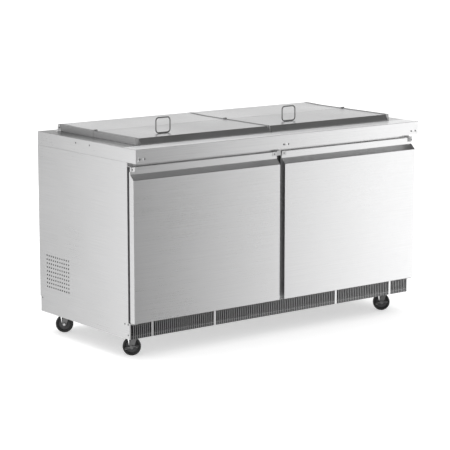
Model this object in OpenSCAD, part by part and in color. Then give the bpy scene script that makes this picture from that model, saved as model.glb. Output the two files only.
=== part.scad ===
// Sandwich prep table: a refrigerated two-door base on casters, with a
// topping rail under two folding insulated lids and a front work ledge.
// Millimetres, +Z up, front towards -Y, origin on the floor at the centre
// of the worktop's outline.

/* [Overall] */
// Width over the worktop and cabinet
body_w = 1530; // [1300:1:1900]
// Depth over the worktop
body_d = 734; // [640:1:900]
// Height of the work surface above the floor
worktop_z = 872; // [800:1:950]
// Height of the worktop's apron
apron_h = 58; // [30:1:90]
// Sheet metal thickness
sheet = 2; // [1:0.5:4]

/* [Cabinet] */
// Distance from the origin forward to the cabinet's front plane
cab_front = 305; // [250:1:360]
// Height of the seam between base and cabinet
cab_z = 154; // [120:1:220]
// Height of the skirt's lower edge above the floor
skirt_z = 89; // [60:1:140]
// Half width of the refrigerated space
cavity_x = 718; // [600:1:750]
// Half width of the post between the doors
mullion_x = 45; // [20:1:70]

/* [Doors] */
// Distance from the origin forward to the door's front face
door_front = 348.5; // [320:0.5:380]
// Distance from the origin forward to the door's back plane
door_back = 318; // [306:0.5:330]
// Gap edge left of the centre
door_gap_l = 12; // [2:1:40]
// Gap edge right of the centre
door_gap_r = 15; // [2:1:40]
// Lower edge of the doors
door_z0 = 159; // [150:1:220]
// Start of the finger-pull bevel
bevel_z0 = 744.5; // [600:0.5:780]
// End of the finger-pull bevel
bevel_z1 = 767; // [620:0.5:790]
// Upper edge of the doors
door_z1 = 796; // [700:1:810]
// Distance forward to the recessed strip above the bevel
strip_front = 325; // [319:0.5:340]
// Distance from the doors' back plane forward to their hinge pins
door_pin_in = 6.5; // [6:0.5:12]

/* [Lids] */
// Half width over both lids
lid_x = 688; // [500:1:750]
// Width of the outer end caps
cap_w = 17; // [8:1:30]
// Top of the lids at the front
lid_z = 898; // [880:0.5:930]
// Underside of the lids
lid_z0 = 872.5; // [872.2:0.1:880]
// Distance from the origin forward to the lid's lower front edge
lid_front = 271; // [200:1:330]
// Distance back to the fold between the leaves
fold_y = 50; // [-50:1:150]
// Gap between the two leaves of a lid at the fold
fold_gap = 1.2; // [0.8:0.1:6]
// Distance back to the rear hinge
lid_hinge_y = 313; // [250:1:345]
// Handle loop position on the left lid
handle_l = -493; // [-600:1:-60]
// Handle loop position on the right lid
handle_r = 176; // [60:1:600]

/* [Casters] */
// Wheel radius
wheel_r = 38; // [30:1:60]
// Swivel axis, distance from the centre sideways
caster_x = 690; // [500:1:720]
// Swivel axis of the front pair
caster_y0 = -240; // [-290:1:-150]
// Swivel axis of the rear pair
caster_y1 = 272; // [150:1:320]
// How far the casters are turned at rest, degrees
caster_turn = -37; // [-180:1:180]
// Distance from swivel axis to axle
trail = 12; // [5:1:20]

/* [Pans] */
// Outside width of a pan's rim
pan_w = 325; // [160:1:325]
// Outside length of a pan's rim
pan_l = 530; // [265:1:530]
// Pan depth
pan_depth = 100; // [65:1:150]

/* [Hidden] */
$fn = 48;
eps = 1;
x1 = body_w / 2;
x2 = x1 - sheet;
yf = -body_d / 2;
yb = body_d / 2;
yc = -cab_front;
frame_t = 5;
yl = yc + frame_t;
apron_z = worktop_z - apron_h;
core_top = worktop_z - sheet;
base_front = yc - 9;
base_back = yb - 6;
well_x = 656;
well_y0 = -234;
well_y1 = 306;
ledge = 10;
rail_z = worktop_z - 20;
pan_pitch = 327;
pan_y = (well_y0 + well_y1) / 2;
pin_gap = 0.05;
hinge_r = 4;
slab_end = lid_x - cap_w;
lid_hinge_z = lid_z0 + 15;
fold_z = lid_z + 1;
shelf_z = 468;
fan_y = 227.5;
fan_z = 270;

// ---- helpers ----

module box(x, y, z) {
  translate([x[0], y[0], z[0]])
    cube([x[1] - x[0], y[1] - y[0], z[1] - z[0]]);
}

// a profile drawn in Y and Z, run along X from xa to xb
module along_x(xa, xb) {
  translate([xa, 0, 0])
    rotate([90, 0, 90])
      linear_extrude(height = xb - xa) children();
}

module rod_x(xa, xb, y, z, r) {
  translate([xa, y, z])
    rotate([0, 90, 0])
      cylinder(r = r, h = xb - xa);
}

module rod_y(x, ya, yb, z, r) {
  translate([x, ya, z])
    rotate([-90, 0, 0])
      cylinder(r = r, h = yb - ya);
}

module rod_z(x, y, za, zb, r) {
  translate([x, y, za])
    cylinder(r = r, h = zb - za);
}

module rrect(w, d, r) {
  square([w - 2 * r, d], center = true);
  square([w, d - 2 * r], center = true);
  for (sx = [-1, 1])
    for (sy = [-1, 1])
      translate([sx * (w / 2 - r), sy * (d / 2 - r)])
        circle(r = r);
}

// ---- screws: one shape, used on the apron and the base ----

front_screws = [-746.5, -721.5, -7.5, 17.5, 721.5, 746.5];
front_screw_z = worktop_z - 40.6;
apron_side_screws = [69.6, -33.5];
apron_side_z = worktop_z - 18;
base_side_screws = [
  [349, cab_z - 4.5],
  [-280, cab_z - 4.5],
  [-303, cab_z - 4.5],
  [-303, skirt_z + 17]
];

// head sunk flush in the sheet; g widens it into the matching hole
module screw(g) {
  translate([0, 0, -1 - g])
    cylinder(r = 4 + 2 * g, h = 1 + g + (g > 0 ? 1 : 0));
  translate([0, 0, -10 - 4 * g])
    cylinder(r = 2 + g, h = 10);
}

module front_screw_set(g) {
  for (x = front_screws)
    translate([x, yf, front_screw_z])
      rotate([90, 0, 0]) screw(g);
}

module apron_screw_set(g) {
  for (s = [-1, 1])
    for (y = apron_side_screws)
      translate([s * x1, y, apron_side_z])
        rotate([0, s * 90, 0]) screw(g);
}

module base_screw_set(g) {
  for (s = [-1, 1])
    for (p = base_side_screws)
      translate([s * x1, p[0], p[1]])
        rotate([0, s * 90, 0]) screw(g);
}

module body_screws() {
  color("dimgray") {
    front_screw_set(0);
    apron_screw_set(0);
    base_screw_set(0);
  }
}

// ---- cabinet ----

module side_panel() {
  difference() {
    box([-x1, -x2], [yc, yb], [cab_z, apron_z]);
    for (i = [0 : 10])
      for (j = [0 : 8])
        rod_x(-x1 - eps, -x2 + eps, 137.5 + 17 * i, 206 + 17 * j, 4);
  }
}

module left_side_panel() {
  color("silver") side_panel();
}

module right_side_panel() {
  color("silver") mirror([1, 0, 0]) side_panel();
}

module back_panel() {
  color("silver")
    difference() {
      box([-x2, x2], [yb - sheet, yb], [cab_z, apron_z]);
      for (i = [0 : 5])
        for (j = [0 : 10])
          box([-640 + 82 * i, -570 + 82 * i],
              [yb - sheet - eps, yb + eps],
              [190 + 15 * j, 196 + 15 * j]);
      rod_y(620, yb - sheet - eps, yb + eps, 230, 14);
    }
}

module cabinet_liner() {
  color("gainsboro")
    difference() {
      box([-x2, x2], [yl, yb - sheet], [cab_z, core_top]);
      // lower front space, in front of the machine room
      box([-cavity_x, cavity_x], [yl - eps, 70], [196, 431]);
      // upper space, full depth
      box([-cavity_x, cavity_x], [yl - eps, 320], [430, 770]);
      // machine room
      box([-x2 - eps, x2 + eps], [110, yb], [cab_z - eps, 390]);
      // pan well with its ledge
      box([-well_x + ledge, well_x - ledge],
          [well_y0 + ledge, well_y1 - ledge], [769, rail_z + eps]);
      box([-well_x, well_x], [well_y0, well_y1],
          [rail_z, core_top + eps]);
      apron_screw_set(pin_gap);
    }
}

module door_frame() {
  color("lightgray") {
    difference() {
      box([-x2, x2], [yc, yl], [cab_z, apron_z]);
      box([-cavity_x, -mullion_x], [yc - eps, yl + eps], [196, 760]);
      box([mullion_x, cavity_x], [yc - eps, yl + eps], [196, 760]);
    }
    box([-mullion_x, mullion_x], [yl - 1, -250], [196, 770]);
  }
}

module base_frame() {
  color("silver")
    difference() {
      union() {
        for (s = [0, 1])
          mirror([s, 0, 0]) {
            box([-x1, -x2], [base_front, base_back], [skirt_z, cab_z]);
            box([-x1, -x1 + 6], [base_front, yl], [skirt_z, cab_z]);
          }
        box([-x1, x1], [base_back - sheet, base_back],
            [skirt_z, cab_z]);
        box([-x1, x1], [base_front, base_back], [cab_z - sheet, cab_z]);
        box([-x1, x1], [base_front, yl], [skirt_z, skirt_z + 3]);
        box([-x2 - eps, x2 + eps], [yl - eps, base_back - eps],
            [skirt_z + 12, skirt_z + 14]);
      }
      base_screw_set(pin_gap);
    }
}

grille_cells = [[-709.5, 9], [-493, 30], [0, 65], [493, 30], [709.5, 9]];

module kick_grille() {
  color("dimgray")
    translate([0, yc - 2, 0])
      rotate([90, 0, 0])
        linear_extrude(height = 2)
          difference() {
            translate([-x1 + 6, skirt_z + 3])
              square([2 * x1 - 12, cab_z - sheet - skirt_z - 3]);
            for (c = grille_cells)
              for (i = [0 : c[1] - 1])
                translate([c[0] + (i - (c[1] - 1) / 2) * 10 - 3, 0]) {
                  translate([0, 107]) square([6, 43]);
                  translate([0, 95]) square([6, 7]);
                }
          }
}

module worktop() {
  color("silver")
    difference() {
      union() {
        box([-x1, x1], [yf, yb], [core_top, worktop_z]);
        box([-x1, x1], [yf, yf + sheet], [apron_z, worktop_z]);
        box([-x1, x1], [yb - sheet, yb], [apron_z, worktop_z]);
        for (s = [0, 1])
          mirror([s, 0, 0])
            box([-x1, -x2], [yf, yb], [apron_z, worktop_z]);
        box([-x1, x1], [yf, yc], [apron_z, apron_z + sheet]);
        box([-x2 - eps, x2 + eps], [yc - sheet, yc],
            [apron_z, worktop_z]);
      }
      box([-well_x, well_x], [well_y0, well_y1],
          [core_top - eps, worktop_z + eps]);
      box([6, 21], [-340.5, -337.5], [core_top - eps, worktop_z + eps]);
      front_screw_set(pin_gap);
      apron_screw_set(pin_gap);
    }
}

module pan_rails() {
  color("silver")
    for (x = [-pan_pitch, 0, pan_pitch])
      box([x - 6, x + 6], [well_y0 + ledge, well_y1 - ledge],
          [rail_z - 10, rail_z]);
}

module pan(x) {
  bw = pan_w - 25;
  bl = pan_l - 25;
  color("lightsteelblue")
    translate([x, pan_y, rail_z])
      difference() {
        union() {
          linear_extrude(height = 1.5) rrect(pan_w, pan_l, 12);
          translate([0, 0, -pan_depth])
            linear_extrude(height = pan_depth + 1) rrect(bw, bl, 30);
        }
        translate([0, 0, 1.2 - pan_depth])
          linear_extrude(height = pan_depth + 2)
            rrect(bw - 2.4, bl - 2.4, 28.8);
      }
}

module pan_1() pan(-1.5 * pan_pitch);
module pan_2() pan(-0.5 * pan_pitch);
module pan_3() pan(0.5 * pan_pitch);
module pan_4() pan(1.5 * pan_pitch);

// ---- doors ----

function pick(s, a, b) = s < 0 ? a : b;

bevel_dy = door_front - strip_front;
bevel_dz = bevel_z1 - bevel_z0;
bevel_l = sqrt(bevel_dy * bevel_dy + bevel_dz * bevel_dz);
// the bevel moved inwards by the sheet thickness
bev_y = -door_front + sheet * bevel_dz / bevel_l;
bev_z = bevel_z0 - sheet * bevel_dy / bevel_l;
bev_k = bevel_dz / bevel_dy;
pocket_y0 = -door_front + sheet;
pocket_y1 = -strip_front + sheet;

module door_outer() {
  polygon([
    [-door_front, door_z0],
    [-door_front, bevel_z0],
    [-strip_front, bevel_z1],
    [-strip_front, door_z1],
    [-door_back, door_z1],
    [-door_back, door_z0]
  ]);
}

module door_pocket(back) {
  polygon([
    [pocket_y0, door_z0 + sheet],
    [pocket_y0, bev_z + (pocket_y0 - bev_y) * bev_k],
    [pocket_y1, bev_z + (pocket_y1 - bev_y) * bev_k],
    [pocket_y1, door_z1 - sheet],
    [back, door_z1 - sheet],
    [back, door_z0 + sheet]
  ]);
}

// s is the hinge side: -1 left, 1 right; xa and xb are the door's ends
module door_skin(xa, xb, s) {
  hx = pick(s, xa + 11, xb - 11);
  difference() {
    union() {
      along_x(xa, xb) door_outer();
      box([pick(s, xa, xb - 24), pick(s, xa + 24, xb)],
          [-door_back - 2 * door_pin_in, -door_back], [778, door_z1]);
      box([pick(s, xb - 24, xa), pick(s, xb, xa + 24)],
          [-strip_front - 1, -door_back], [778, door_z1]);
    }
    along_x(pick(s, xa + 24, xa + 2), pick(s, xb - 2, xb - 24))
      door_pocket(-door_back + eps);
    rod_z(hx, -door_back - door_pin_in, 779, door_z1 + eps,
          hinge_r + pin_gap);
    rod_z(hx, -door_back - door_pin_in, door_z0 - eps, 180,
          hinge_r + pin_gap);
  }
}

module door_liner(xa, xb, s) {
  along_x(pick(s, xa + 24, xa + 2), pick(s, xb - 2, xb - 24))
    door_pocket(-door_back);
  box([xa + 36, xb - 36], [-door_back - 1, -door_back + 10],
      [196, 760]);
}

module door_gasket(xa, xb) {
  difference() {
    box([xa + 12, xb - 12], [-door_back, yc - 0.3], [170, 786]);
    box([xa + 34, xb - 34], [-door_back - eps, yc + eps], [192, 764]);
  }
}

module left_door_skin() {
  color("gainsboro") door_skin(-x1 + 1, -door_gap_l, -1);
}

module left_door_liner() {
  color("white") door_liner(-x1 + 1, -door_gap_l, -1);
}

module left_door_gasket() {
  color("gray") door_gasket(-x1 + 1, -door_gap_l);
}

module right_door_skin() {
  color("gainsboro") door_skin(door_gap_r, x1 - 1, 1);
}

module right_door_liner() {
  color("white") door_liner(door_gap_r, x1 - 1, 1);
}

module right_door_gasket() {
  color("gray") door_gasket(door_gap_r, x1 - 1);
}

module door_hinge_brackets() {
  hx = -x1 + 12;
  hy = -door_back - door_pin_in;
  color("gray")
    for (s = [0, 1])
      mirror([s, 0, 0]) {
        box([hx - 11, hx + 15], [hy - 12, yc], [cab_z, cab_z + 3]);
        rod_z(hx, hy, cab_z + 2, 177, hinge_r);
        box([hx - 11, hx + 13], [hy - 6, yc], [797, 800]);
        rod_z(hx, hy, 780, 798, hinge_r);
        box([hx - 11, hx + 15], [yc - 3, yc], [799, 812]);
      }
}

module centre_door_stop() {
  color("gray") {
    box([-11, 10], [-strip_front, yc], [797, 800]);
    box([-11, 10], [-strip_front, -strip_front + 2], [779, 798]);
    box([-11, 10], [yc - 2, yc], [799, 812]);
  }
}

// ---- lids: drawn for the right-hand lid, mirrored for the left ----

inner_a = 2;
inner_b = 6.5;
knuckle_r = 5.5;
notch_r = 6.2;
pivot_r = 2.5;

module rear_slab_profile() {
  polygon(concat(
    [
      [fold_y + fold_gap / 2, lid_z0],
      [fold_y + fold_gap / 2, lid_z],
      [200, lid_z]
    ],
    [for (a = [90 : -15 : -90])
      [lid_hinge_y + 15 * cos(a), lid_hinge_z + 15 * sin(a)]]
  ));
}

module rear_cap_profile() {
  polygon([
    [fold_y + fold_gap / 2, lid_z0],
    [fold_y + fold_gap / 2, lid_z - 0.3],
    [fold_y + fold_gap / 2 + 1.8, lid_z + 1.5],
    [200, lid_z + 1.5],
    [lid_hinge_y - 13, lid_z0 + 30],
    [lid_hinge_y, lid_z0 + 30],
    [lid_hinge_y, lid_z0]
  ]);
  translate([lid_hinge_y, lid_hinge_z]) circle(r = 15);
}

module front_slab_profile() {
  polygon([
    [-lid_front, lid_z0],
    [-lid_front + 19.5, lid_z],
    [fold_y - fold_gap / 2, lid_z],
    [fold_y - fold_gap / 2, lid_z0]
  ]);
}

module front_cap_profile() {
  polygon([
    [-lid_front + 13, lid_z0],
    [-lid_front + 17, lid_z + 1.5],
    [fold_y - fold_gap / 2 - 1.8, lid_z + 1.5],
    [fold_y - fold_gap / 2, lid_z - 0.3],
    [fold_y - fold_gap / 2, lid_z0]
  ]);
}

module lid_rear() {
  difference() {
    along_x(inner_b, slab_end) rear_slab_profile();
    rod_x(0, 20, lid_hinge_y, lid_hinge_z, hinge_r + pin_gap);
  }
}

// a cap with its own knuckle from ka to kb, and room for the other
// leaf's knuckle from na to nb; d is 1 behind the fold, -1 in front,
// and the front leaf's caps are bored for the fold pins
module lid_cap(xa, xb, ka, kb, na, nb, d) {
  difference() {
    union() {
      difference() {
        along_x(xa, xb) children();
        rod_x(na, nb, fold_y, fold_z, notch_r);
      }
      rod_x(ka, kb, fold_y, fold_z, knuckle_r);
      box([ka, kb], [min(fold_y, fold_y + 5 * d),
          max(fold_y, fold_y + 5 * d)], [fold_z - knuckle_r, fold_z + 0.5]);
    }
    if (d < 0)
      rod_x(xa - eps, xb + eps, fold_y, fold_z, pivot_r + pin_gap);
  }
}

module lid_rear_caps() {
  difference() {
    union() {
      lid_cap(slab_end, lid_x, slab_end, slab_end + 8,
              slab_end + 8, lid_x + eps, 1) rear_cap_profile();
      lid_cap(inner_a, inner_b, inner_a, inner_a + 2,
              inner_a + 2, inner_b + eps, 1) rear_cap_profile();
      rod_x(slab_end + 7, lid_x - 0.5, fold_y, fold_z, pivot_r);
      rod_x(inner_a + 1, inner_b - 0.2, fold_y, fold_z, pivot_r);
    }
    rod_x(slab_end - eps, lid_x + eps, lid_hinge_y, lid_hinge_z,
          hinge_r + pin_gap);
    rod_x(inner_a - eps, inner_b + eps, lid_hinge_y, lid_hinge_z,
          hinge_r + pin_gap);
  }
}

module lid_front(hx) {
  difference() {
    along_x(inner_b, slab_end) front_slab_profile();
    for (s = [-20, 20])
      rod_z(hx + s, -173, lid_z - 8, lid_z + eps, 2.55);
  }
}

module lid_front_caps() {
  lid_cap(slab_end, lid_x, slab_end + 8.5, lid_x - 0.5,
          slab_end - eps, slab_end + 8.5, -1) front_cap_profile();
  lid_cap(inner_a, inner_b, inner_a + 2.4, inner_b,
          inner_a - eps, inner_a + 2.4, -1) front_cap_profile();
}

// closed upright loop of round wire on two short studs
module lid_handle(x) {
  r = 3;
  c = 14;
  hw = 35.5;
  za = lid_z + r;
  zb = lid_z + 65;
  color("gray") {
    for (z = [za, zb])
      rod_x(x - hw + c, x + hw - c, -173, z, r);
    for (s = [-1, 1])
      rod_z(x + s * hw, -173, za + c, zb - c, r);
    for (k = [0 : 3])
      translate([x + (k == 0 || k == 3 ? 1 : -1) * (hw - c), -173,
                 k < 2 ? zb - c : za + c])
        rotate([90, 0, 0])
          rotate([0, 0, 90 * k])
            rotate_extrude(angle = 90)
              translate([c, 0]) circle(r = r);
    for (s = [-20, 20])
      rod_z(x + s, -173, lid_z - 7, za, 2.5);
  }
}

module left_lid_rear() {
  color("lightgray") mirror([1, 0, 0]) lid_rear();
}

module right_lid_rear() {
  color("lightgray") lid_rear();
}

module left_lid_rear_caps() {
  color("darkgray") mirror([1, 0, 0]) lid_rear_caps();
}

module right_lid_rear_caps() {
  color("darkgray") lid_rear_caps();
}

module left_lid_front() {
  color("lightgray") mirror([1, 0, 0]) lid_front(-handle_l);
}

module right_lid_front() {
  color("lightgray") lid_front(handle_r);
}

module left_lid_front_caps() {
  color("darkgray") mirror([1, 0, 0]) lid_front_caps();
}

module right_lid_front_caps() {
  color("darkgray") lid_front_caps();
}

module left_lid_handle() lid_handle(handle_l);
module right_lid_handle() lid_handle(handle_r);

module lid_hinge_brackets() {
  color("gray") {
    for (s = [0, 1])
      mirror([s, 0, 0]) {
        box([lid_x + 1, lid_x + 4], [298, 328],
            [worktop_z, worktop_z + 29]);
        box([lid_x + 1, lid_x + 20], [298, 328],
            [worktop_z, worktop_z + 2]);
        rod_x(slab_end + 1, lid_x + 3, lid_hinge_y, lid_hinge_z,
              hinge_r);
      }
    box([-1.2, 1.2], [298, 346], [worktop_z, worktop_z + 29]);
    box([-14, 14], [330, 346], [worktop_z, worktop_z + 3]);
    rod_x(-18.5, 18.5, lid_hinge_y, lid_hinge_z, hinge_r);
  }
}

// ---- inside the cabinet ----

module wire_shelf(xa, xb) {
  color("whitesmoke") {
    translate([0, 0, shelf_z])
      linear_extrude(height = 4)
        difference() {
          translate([xa, -240]) square([xb - xa, 540]);
          for (i = [0 : 25])
            for (j = [0 : 2])
              translate([xa + 8 + i * 25.3, -232 + j * 178])
                square([21, 168]);
        }
    for (y = [-238, 294])
      box([xa, xb], [y, y + 4], [shelf_z, shelf_z + 8]);
  }
}

module left_wire_shelf() wire_shelf(-708, -37);
module right_wire_shelf() wire_shelf(37, 708);

module shelf_clips() {
  color("gray") {
    for (s = [0, 1])
      mirror([s, 0, 0])
        for (y = [-200, 240])
          box([-cavity_x, -700], [y - 10, y + 10],
              [shelf_z - 8, shelf_z]);
    box([-60, 60], [-250, -225], [shelf_z - 8, shelf_z]);
    box([-60, 60], [290, 320], [shelf_z - 8, shelf_z]);
  }
}

// fins standing on a tube sheet, seen from above, n of them
module fin_pack(w, l, n) {
  square([2, l]);
  for (i = [0 : n - 1])
    translate([0, i * (l - 1.2) / (n - 1)]) square([w, 1.2]);
}

module evaporator_coil() {
  color("goldenrod")
    translate([-160, 318, 530])
      rotate([0, 0, -90])
        linear_extrude(height = 200) fin_pack(36, 180, 26);
}

module evaporator_cover() {
  color("gainsboro")
    difference() {
      box([-170, 170], [262, 320], [518, 742]);
      box([-168.5, 168.5], [263.5, 321], [519.5, 740.5]);
      rod_y(90, 261, 265, 630, 48);
      for (i = [0 : 7])
        box([-152 + i * 22, -142 + i * 22], [261, 265], [545, 715]);
    }
}

module control_box() {
  color("gainsboro") {
    box([668, cavity_x], [-200, -80], [640, 740]);
    rod_x(656, 669, -140, 690, 3);
  }
}

module thermostat_knob() {
  color("black")
    difference() {
      union() {
        rod_x(654, 667.7, -140, 690, 16);
        box([652, 655], [-142, -138], [690, 705]);
      }
      rod_x(655.5, 669, -140, 690, 3 + pin_gap);
    }
}

// ---- machine room ----

module compressor() {
  color("black")
    translate([-420, 235, cab_z]) {
      translate([0, 0, 14]) cylinder(r = 62, h = 124);
      translate([0, 0, 137]) cylinder(r1 = 62, r2 = 38, h = 26);
      translate([-85, -60, 10]) cube([170, 120, 5]);
      for (sx = [-70, 70])
        for (sy = [-45, 45])
          translate([sx, sy, 0]) cylinder(r = 11, h = 11);
    }
}

module condenser_coil() {
  color("darkgoldenrod")
    translate([-744, 130, 172])
      linear_extrude(height = 196) fin_pack(40, 195, 34);
}

module condenser_shroud() {
  color("dimgray")
    difference() {
      union() {
        box([-702, -700], [130, 325], [cab_z, 366]);
        rod_x(-701, -668, fan_y, fan_z, 74);
      }
      rod_x(-703, -667, fan_y, fan_z, 72);
    }
}

// blades set at a pitch round a hub, turning about Z
module fan(hub_r, tip_r, chord, h, n, bore_r) {
  difference() {
    union() {
      translate([0, 0, -h / 2]) cylinder(r = hub_r, h = h);
      for (k = [0 : n - 1])
        rotate([0, 0, 360 / n * k])
          rotate([30, 0, 0])
            translate([hub_r - 3, -chord / 2, -1])
              cube([tip_r - hub_r + 3, chord, 2]);
    }
    translate([0, 0, -h]) cylinder(r = bore_r + pin_gap, h = 2 * h);
  }
}

module condenser_fan() {
  color("black")
    translate([-683, fan_y, fan_z])
      rotate([0, 90, 0]) fan(18, 64, 30, 18, 5, 4);
}

module evaporator_fan() {
  color("black")
    translate([90, 282, 630])
      rotate([-90, 0, 0]) fan(12, 42, 16, 14, 5, 3);
}

module fan_motors() {
  color("gray") {
    rod_x(-656, -616, fan_y, fan_z, 30);
    rod_x(-690, -655, fan_y, fan_z, 4);
    box([-646, -626], [fan_y - 8, fan_y + 8], [cab_z, 250]);
    rod_y(90, 298, 320, 630, 22);
    rod_y(90, 274, 299, 630, 3);
  }
}

module drain_pan() {
  color("gray")
    difference() {
      box([300, 560], [140, 340], [cab_z, cab_z + 30]);
      box([302, 558], [142, 338], [cab_z + 2, cab_z + 31]);
    }
}

module cord_gland() {
  color("black")
    difference() {
      union() {
        rod_y(620, yb - 2.5, yb, 230, 13.9);
        rod_y(620, yb - 6, yb - sheet, 230, 18);
      }
      rod_y(620, yb - 7, yb + 1, 230, 7);
    }
}

// ---- casters: drawn with the swivel axis on Z, axle along Y ----

crown_z = 82;

module place(sx, y) {
  translate([sx * caster_x, y, 0]) children();
}

module turned() {
  rotate([0, 0, caster_turn]) children();
}

module caster_plates() {
  color("silver")
    for (sx = [-1, 1])
      for (y = [caster_y0, caster_y1])
        place(sx, y) {
          translate([-50, -40, skirt_z + 9]) cube([100, 80, 3]);
          rod_z(0, 0, 90, skirt_z + 10, 22);
          rod_z(0, 0, crown_z - 1, 91, 5);
          rod_z(0, 0, crown_z - 3, crown_z - 0.4, 8);
        }
}

module fork_leg(ya) {
  translate([0, ya + 2.5, 0])
    rotate([90, 0, 0])
      linear_extrude(height = 2.5) {
        polygon([
          [-14, crown_z + 4],
          [14, crown_z + 4],
          [9 - trail, wheel_r],
          [-9 - trail, wheel_r]
        ]);
        translate([-trail, wheel_r]) circle(r = 9);
      }
}

module fork() {
  color("silver")
    difference() {
      union() {
        rod_z(0, 0, crown_z, crown_z + 4, 21);
        rod_z(0, 0, crown_z + 3, crown_z + 7.6, 17);
        fork_leg(14);
        fork_leg(-16.5);
        rod_y(-trail, -22, 18, wheel_r, 4);
        rod_y(-trail, 16, 19.5, wheel_r, 7);
        rod_y(-trail, -23, -20.4, wheel_r, 6.5);
      }
      rod_z(0, 0, crown_z - eps, crown_z + 9, 5 + pin_gap);
    }
}

module wheel() {
  color([0.12, 0.12, 0.12])
    translate([-trail, 0, wheel_r])
      rotate([90, 0, 0])
        rotate_extrude()
          polygon([
            [hinge_r + pin_gap, -12.5], [11, -12.5], [13, -8],
            [wheel_r - 12, -8], [wheel_r - 9, -12],
            [wheel_r - 2, -12], [wheel_r, -10],
            [wheel_r, 10], [wheel_r - 2, 12], [wheel_r - 9, 12],
            [wheel_r - 12, 8], [13, 8], [11, 12.5],
            [hinge_r + pin_gap, 12.5]
          ]);
}

// two-winged lock lever on the axle's outer end
module brake() {
  color("gray")
    translate([-trail, 0, wheel_r])
      difference() {
        union() {
          rod_y(0, -20, -17, 0, 9);
          rotate([0, -12, 0]) {
            box([-28, 28], [-20, -17], [-3.5, 3.5]);
            for (s = [0, 1])
              mirror([s, 0, 0])
                box([18, 28], [-28, -17], [-3.5, -0.5]);
          }
        }
        rod_y(0, -21, -16, 0, hinge_r + pin_gap);
      }
}

module front_left_fork() place(-1, caster_y0) turned() fork();
module front_right_fork() place(1, caster_y0) turned() fork();
module rear_left_fork() place(-1, caster_y1) turned() fork();
module rear_right_fork() place(1, caster_y1) turned() fork();
module front_left_wheel() place(-1, caster_y0) turned() wheel();
module front_right_wheel() place(1, caster_y0) turned() wheel();
module rear_left_wheel() place(-1, caster_y1) turned() wheel();
module rear_right_wheel() place(1, caster_y1) turned() wheel();
module front_left_brake() place(-1, caster_y0) turned() brake();
module front_right_brake() place(1, caster_y0) turned() brake();

// ---- what is drawn ----

left_side_panel();
right_side_panel();
back_panel();
cabinet_liner();
base_frame();
kick_grille();
door_frame();
worktop();
pan_rails();
body_screws();
shelf_clips();
door_hinge_brackets();
lid_hinge_brackets();
centre_door_stop();
caster_plates();
compressor();
condenser_coil();
condenser_shroud();
drain_pan();
evaporator_coil();
evaporator_cover();
fan_motors();
control_box();
cord_gland();
condenser_fan();
evaporator_fan();
thermostat_knob();
left_door_skin();
left_door_liner();
left_door_gasket();
right_door_skin();
right_door_liner();
right_door_gasket();
left_lid_rear();
left_lid_rear_caps();
left_lid_front();
left_lid_front_caps();
left_lid_handle();
right_lid_rear();
right_lid_rear_caps();
right_lid_front();
right_lid_front_caps();
right_lid_handle();
left_wire_shelf();
right_wire_shelf();
pan_1();
pan_2();
pan_3();
pan_4();
front_left_fork();
front_right_fork();
rear_left_fork();
rear_right_fork();
front_left_wheel();
front_right_wheel();
rear_left_wheel();
rear_right_wheel();
front_left_brake();
front_right_brake();
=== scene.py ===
"""Sandwich prep table: the looks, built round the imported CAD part, in metres."""

import math

import bmesh
import bpy
from mathutils import Matrix, Vector


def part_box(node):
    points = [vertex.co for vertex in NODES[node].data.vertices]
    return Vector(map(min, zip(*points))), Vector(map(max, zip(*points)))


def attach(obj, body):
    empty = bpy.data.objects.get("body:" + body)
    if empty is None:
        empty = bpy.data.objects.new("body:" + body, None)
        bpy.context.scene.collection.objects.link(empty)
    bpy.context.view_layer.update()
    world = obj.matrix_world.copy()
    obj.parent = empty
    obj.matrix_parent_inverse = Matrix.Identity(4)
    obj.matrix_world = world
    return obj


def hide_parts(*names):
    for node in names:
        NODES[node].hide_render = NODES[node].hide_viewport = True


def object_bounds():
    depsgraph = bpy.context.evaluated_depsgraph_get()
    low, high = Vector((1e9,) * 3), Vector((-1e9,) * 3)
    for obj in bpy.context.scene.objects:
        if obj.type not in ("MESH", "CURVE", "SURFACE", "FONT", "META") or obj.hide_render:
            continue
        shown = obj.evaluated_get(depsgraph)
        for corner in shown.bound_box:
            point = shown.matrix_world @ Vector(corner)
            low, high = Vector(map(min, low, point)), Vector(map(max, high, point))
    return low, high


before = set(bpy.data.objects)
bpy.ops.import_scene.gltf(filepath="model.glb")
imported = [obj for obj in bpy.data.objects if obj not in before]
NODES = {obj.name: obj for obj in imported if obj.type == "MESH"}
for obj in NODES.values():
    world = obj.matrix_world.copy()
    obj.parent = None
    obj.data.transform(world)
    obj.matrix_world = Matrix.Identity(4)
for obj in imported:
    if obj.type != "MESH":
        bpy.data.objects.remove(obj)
cad_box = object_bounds()
SIDES = (("left", -1), ("right", 1))

# doors: heights of the bevel, depth of the finger strip, the corner pieces, the hinge pin
BEVEL_Z0, BEVEL_Z1 = 0.7445, 0.767
STRIP_Y = -0.325
CORNER_W, CORNER_Z0 = 0.024, 0.778
CAP_PROUD = 0.001
PIN_Y = -0.3245
BOSS_LIP, BOSS_FLAT = 0.0015, 0.011
GASKET_W = 0.022
# lids: top face, slope of the front edge, rounded rear edge, hinge pins, wire handles
LID_TOP = 0.898
LID_NOSE = 0.0195
LID_REAR_R, LID_FLAT_TO = 0.015, 0.2
LID_AXIS_Y, LID_AXIS_Z, LID_PIN_R = 0.313, 0.8875, 0.004
HANDLE_R, HANDLE_BEND = 0.0027, 0.0137
STUD_X, STUD_R, STUD_H, STUD_SINK = 0.02, 0.0025, 0.006, 0.004
WIRE_SIDES = 14
# lid hinge plates: across the end plates and their feet, and along the depth
END_PLATE, END_FOOT = (0.6882, 0.6894), (0.6884, 0.708)
PLATE_BACK, MIDDLE_FOOT_BACK = 0.328, 0.346
FOOT_T, MIDDLE_FOOT_T, MIDDLE_FOOT_HALF = 0.0012, 0.003, 0.014
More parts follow.
